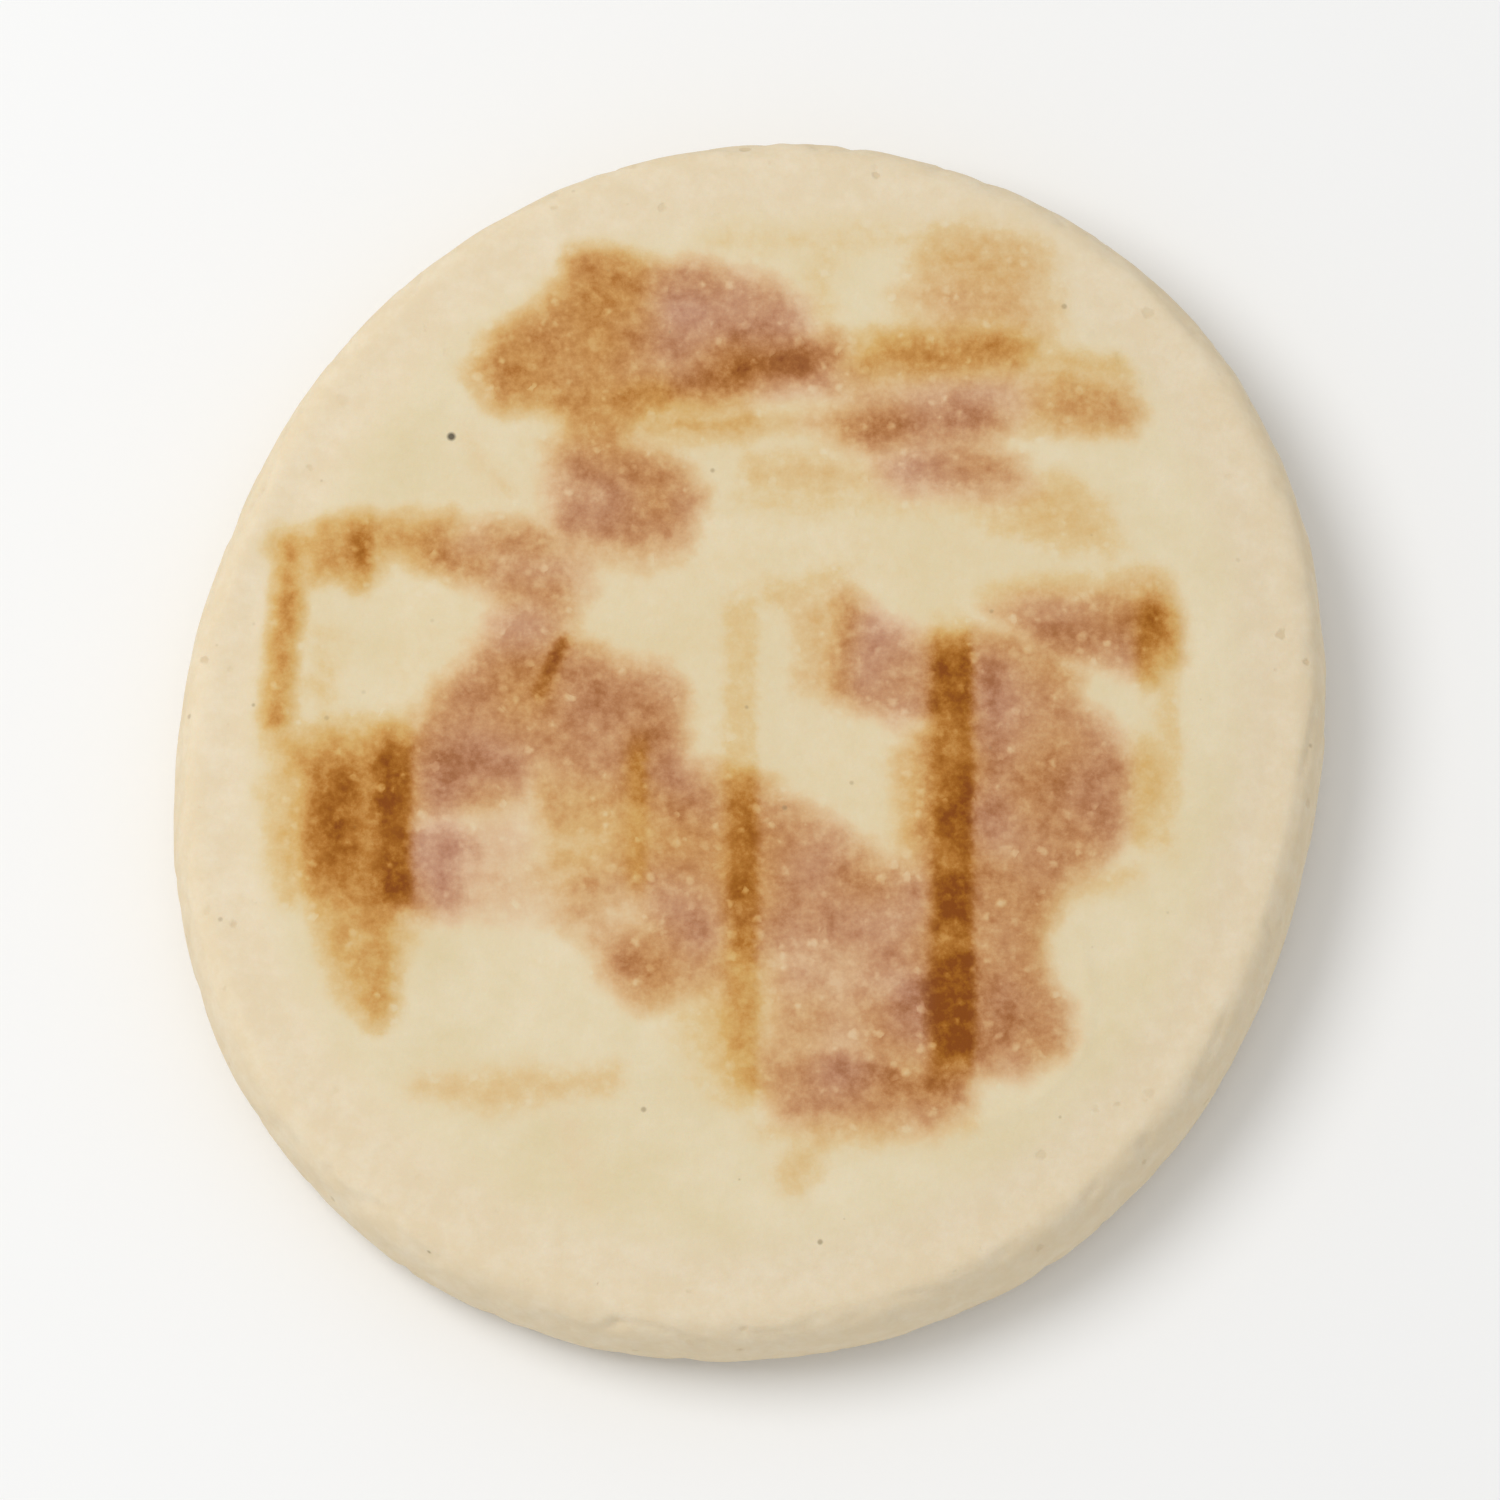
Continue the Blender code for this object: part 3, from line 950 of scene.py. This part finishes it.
def dough_colour(tree, place, pressed, pores, settings):
    """The colour under the browning: pressed crust, and a floury edge round it whose pores are
    painted darker as shade.
    """
    drift = add_node(
        tree,
        "ShaderNodeTexNoise",
        {"Vector": place, "Scale": per_mm(11), "Detail": 8.0, "Roughness": 0.7},
    )
    palest = add_node(
        tree,
        "ShaderNodeMapRange",
        {"Value": drift.outputs["Fac"], "From Min": 0.32, "From Max": 0.68},
    )
    face = add_node(
        tree,
        "ShaderNodeMix",
        {
            "Factor": palest.outputs["Result"],
            "A": tuple(settings.shade),
            "B": tuple(settings.cream),
        },
        data_type="RGBA",
    )
    dust = add_node(
        tree,
        "ShaderNodeTexNoise",
        {"Vector": place, "Scale": per_mm(2.6), "Detail": 7.0, "Roughness": 0.7},
    )
    dusted = add_node(
        tree,
        "ShaderNodeMapRange",
        {"Value": dust.outputs["Fac"], "From Min": 0.42, "From Max": 0.7, "To Max": 0.45},
    )
    floury = add_node(
        tree,
        "ShaderNodeMix",
        {
            "Factor": dusted.outputs["Result"],
            "A": tuple(settings.rim),
            "B": tuple(settings.flour),
        },
        data_type="RGBA",
    )
    # The pores on the edge are painted darker: painted shade in their pits.
    painted_pore_shade = add_node(
        tree, "ShaderNodeMath", {0: pores, 1: PORE_PAINTED_SHADE}, operation="MULTIPLY"
    )
    edge = add_node(
        tree,
        "ShaderNodeMix",
        {
            "Factor": painted_pore_shade.outputs["Value"],
            "A": floury.outputs["Result"],
            "B": hex_colour(PORE_PAINTED_SHADE_COLOUR),
        },
        data_type="RGBA",
    )
    dough = add_node(
        tree,
        "ShaderNodeMix",
        {"Factor": pressed, "A": edge.outputs["Result"], "B": face.outputs["Result"]},
        data_type="RGBA",
    )
    return dough.outputs["Result"]


def toasted_colour(tree, dough, browning, haze):
    """The dough's colour, covered by gold or mauve brown where it is toasted."""
    gold = add_node(tree, "ShaderNodeValToRGB", {"Fac": browning}, stops=GOLD)
    mauve = add_node(tree, "ShaderNodeValToRGB", {"Fac": browning}, stops=MAUVE)
    brown = add_node(
        tree,
        "ShaderNodeMix",
        {"Factor": haze, "A": gold.outputs["Color"], "B": mauve.outputs["Color"]},
        data_type="RGBA",
    )
    covered = add_node(
        tree,
        "ShaderNodeMapRange",
        {"Value": browning, "From Min": 0.0, "From Max": 0.16},
        interpolation_type="SMOOTHSTEP",
    )
    toasted = add_node(
        tree,
        "ShaderNodeMix",
        {"Factor": covered.outputs["Result"], "A": dough, "B": brown.outputs["Result"]},
        data_type="RGBA",
    )
    return toasted.outputs["Result"]


def specked_colour(tree, place, colour, settings):
    """The crust's colour with its bran specks, 0.2 to 0.5 mm across, and a burnt crumb."""
    bran = scattered_spots(tree, place, cell=3.0, smallest=-0.3, largest=0.28, soft=0.22)
    faint = add_node(
        tree, "ShaderNodeMath", {0: bran, 1: BRAN_SHADE}, operation="MULTIPLY"
    )
    branned = add_node(
        tree,
        "ShaderNodeMix",
        {"Factor": faint.outputs["Value"], "A": colour, "B": tuple(settings.speck)},
        data_type="RGBA",
    )
    crumb_place = (CRUMB[0] * MM, CRUMB[1] * MM, HIGH.z - settings.sink)
    away = add_node(
        tree, "ShaderNodeVectorMath", {0: place, 1: crumb_place}, operation="DISTANCE"
    )
    crumb = add_node(
        tree,
        "ShaderNodeMapRange",
        {
            "Value": away.outputs["Value"],
            "From Min": CRUMB_RADIUS * 1.3 * MM,
            "From Max": CRUMB_RADIUS * 0.6 * MM,
            "To Max": 0.9,
        },
    )
    specked = add_node(
        tree,
        "ShaderNodeMix",
        {
            "Factor": crumb.outputs["Result"],
            "A": branned.outputs["Result"],
            "B": hex_colour(CRUMB_COLOUR),
        },
        data_type="RGBA",
    )
    return specked.outputs["Result"]


def crust_relief(tree, place, brown, blisters, pores):
    """Normals for the blisters, the pores and the grain of the skin, which is drawn half a
    millimetre wide because the real one is too fine to show."""
    skin = add_node(
        tree,
        "ShaderNodeTexNoise",
        {"Vector": place, "Scale": per_mm(0.55), "Detail": 3.0, "Roughness": 0.6},
    )
    raised = add_node(
        tree,
        "ShaderNodeMath",
        {0: blisters, 1: brown, 2: skin.outputs["Fac"]},
        operation="MULTIPLY_ADD",
    )
    height = add_node(
        tree,
        "ShaderNodeMath",
        {0: pores, 1: -PORE_DEPTH, 2: raised.outputs["Value"]},
        operation="MULTIPLY_ADD",
    )
    bump = add_node(
        tree,
        "ShaderNodeBump",
        {"Height": height.outputs["Value"], "Strength": 0.5, "Distance": 0.1 * MM},
    )
    return bump.outputs["Normal"]


def crust_material(settings):
    """Baked wheat crust: matt, faintly translucent, browned where a hot plate touched it."""
    material = bpy.data.materials.new("baked_wheat_crust")
    material.use_nodes = True
    tree = material.node_tree
    tree.nodes.clear()

    place = add_node(tree, "ShaderNodeTexCoord").outputs["Object"]
    brown = add_node(tree, "ShaderNodeAttribute", attribute_name="brown").outputs["Fac"]
    haze = add_node(tree, "ShaderNodeAttribute", attribute_name="haze").outputs["Fac"]
    pressed = add_node(tree, "ShaderNodeAttribute", attribute_name="pressed").outputs["Fac"]

    # Noise pushes the blisters and the pores out of round.
    push = add_node(
        tree, "ShaderNodeTexNoise", {"Vector": place, "Scale": per_mm(0.9), "Detail": 2.0}
    )
    reach = (PUSH * MM, PUSH * MM, PUSH * MM)
    pushed = add_node(
        tree,
        "ShaderNodeVectorMath",
        {0: push.outputs["Color"], 1: reach, 2: place},
        operation="MULTIPLY_ADD",
    ).outputs["Vector"]
    blisters = scattered_spots(
        tree, pushed, cell=1.15, smallest=-0.08, largest=0.52, soft=0.42
    )
    pits = scattered_spots(tree, pushed, cell=2.3, smallest=-0.5, largest=0.55, soft=0.3)
    # The pores dent the edge's relief, and the edge's colour is painted darker in them as
    # shade.
    unpressed = add_node(tree, "ShaderNodeMath", {0: 1.0, 1: pressed}, operation="SUBTRACT")
    pores = add_node(
        tree, "ShaderNodeMath", {0: pits, 1: unpressed.outputs["Value"]}, operation="MULTIPLY"
    ).outputs["Value"]

    browning = browning_pattern(tree, place, brown, blisters)
    dough = dough_colour(tree, place, pressed, pores, settings)
    toasted = toasted_colour(tree, dough, browning, haze)
    roughness = add_node(
        tree, "ShaderNodeMapRange", {"Value": browning, "To Min": 0.82, "To Max": 0.62}
    )
    shader = add_node(
        tree,
        "ShaderNodeBsdfPrincipled",
        {
            "Base Color": specked_colour(tree, place, toasted, settings),
            "Roughness": roughness.outputs["Result"],
            "IOR": 1.45,
            "Specular IOR Level": 0.2,
            "Subsurface Weight": 0.12,
            "Subsurface Radius": (1.0, 0.62, 0.35),
            "Subsurface Scale": 1.2 * MM,
            "Normal": crust_relief(tree, place, brown, blisters, pores),
        },
    )
    add_node(tree, "ShaderNodeOutputMaterial", {"Surface": shader.outputs["BSDF"]})
    return material


class TIGELLA_OT_bread(bpy.types.Operator):
    """Make the bread: its fine surface, its toast marks and its crust"""

    bl_idname = "tigella.bread"
    bl_label = "Bake the bread"

    def execute(self, context):
        settings = context.scene.tigella_crust
        bread = make_blank()
        fit_to_solid(bread)
        shape_bread(bread, settings)
        bread.data.materials.append(crust_material(settings))
        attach(bread, "root")
        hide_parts(NODE)
        return {"FINISHED"}


# --- The stage --------------------------------------------------------------------------

# In metres
FLOOR_WIDTH = 8
KEY_LIGHT_PLACE = Vector((-0.50, 0.12, 0.85))
KEY_LIGHT_WIDTH = 0.6


def aim(thing, target):
    """Turns a light or a camera to face a place."""
    thing.rotation_euler = (target - thing.location).to_track_quat("-Z", "Y").to_euler()


def add_light(name, location, size, power):
    """A round lamp that shines on the bread."""
    bpy.ops.object.light_add(type="AREA", location=location)
    light = bpy.context.object
    light.name = name
    light.data.shape = "DISK"
    light.data.size = size
    light.data.energy = power
    aim(light, MIDDLE)


class TIGELLA_OT_stage(bpy.types.Operator):
    """Lay the floor, light the bread and stand the camera"""

    bl_idname = "tigella.stage"
    bl_label = "Set the stage"

    def execute(self, context):
        settings = context.scene.tigella_stage
        bpy.ops.mesh.primitive_plane_add(size=FLOOR_WIDTH, location=(0, 0, LOW.z))
        floor = context.object
        floor.name = "floor"
        # Matt white board, which takes soft shadows and has no gloss
        board = bpy.data.materials.new("matt_white_board")
        board.use_nodes = True
        shader = board.node_tree.nodes["Principled BSDF"]
        shader.inputs["Base Color"].default_value = settings.floor
        shader.inputs["Roughness"].default_value = 0.9
        floor.data.materials.append(board)

        world = bpy.data.worlds.new("studio")
        world.use_nodes = True
        sky = world.node_tree.nodes["Background"]
        sky.inputs["Color"].default_value = (1, 1, 1, 1)
        sky.inputs["Strength"].default_value = settings.sky
        context.scene.world = world

        add_light("key_light", KEY_LIGHT_PLACE, KEY_LIGHT_WIDTH, settings.key)

        back = Vector((0, -math.cos(settings.elevation), math.sin(settings.elevation)))
        bpy.ops.object.camera_add(location=MIDDLE + back * settings.distance)
        camera = context.object
        camera.name = "camera"
        aim(camera, MIDDLE)
        camera.data.angle = 2 * math.atan(settings.width / 2 / settings.distance)
        context.scene.camera = camera
        context.scene.view_settings.view_transform = "Standard"
        return {"FINISHED"}


class TIGELLA_PT_sidebar(bpy.types.Panel):
    """Bread and stage"""

    bl_label = "Tigella"
    bl_idname = "TIGELLA_PT_sidebar"
    bl_space_type = "VIEW_3D"
    bl_region_type = "UI"
    bl_category = "Tigella"

    def draw(self, context):
        for settings, operator in (
            (context.scene.tigella_crust, TIGELLA_OT_bread),
            (context.scene.tigella_stage, TIGELLA_OT_stage),
        ):
            box = self.layout.box()
            for name in settings.__annotations__:
                box.prop(settings, name)
            box.operator(operator.bl_idname)


CLASSES = (
    TIGELLA_PG_crust,
    TIGELLA_PG_stage,
    TIGELLA_OT_bread,
    TIGELLA_OT_stage,
    TIGELLA_PT_sidebar,
)


def register():
    for each in CLASSES:
        bpy.utils.register_class(each)
    bpy.types.Scene.tigella_crust = PointerProperty(type=TIGELLA_PG_crust)
    bpy.types.Scene.tigella_stage = PointerProperty(type=TIGELLA_PG_stage)


def unregister():
    del bpy.types.Scene.tigella_stage
    del bpy.types.Scene.tigella_crust
    for each in reversed(CLASSES):
        bpy.utils.unregister_class(each)


def main():
    register()
    bpy.ops.tigella.bread()
    bpy.ops.tigella.stage()


if __name__ == "__main__":
    main()
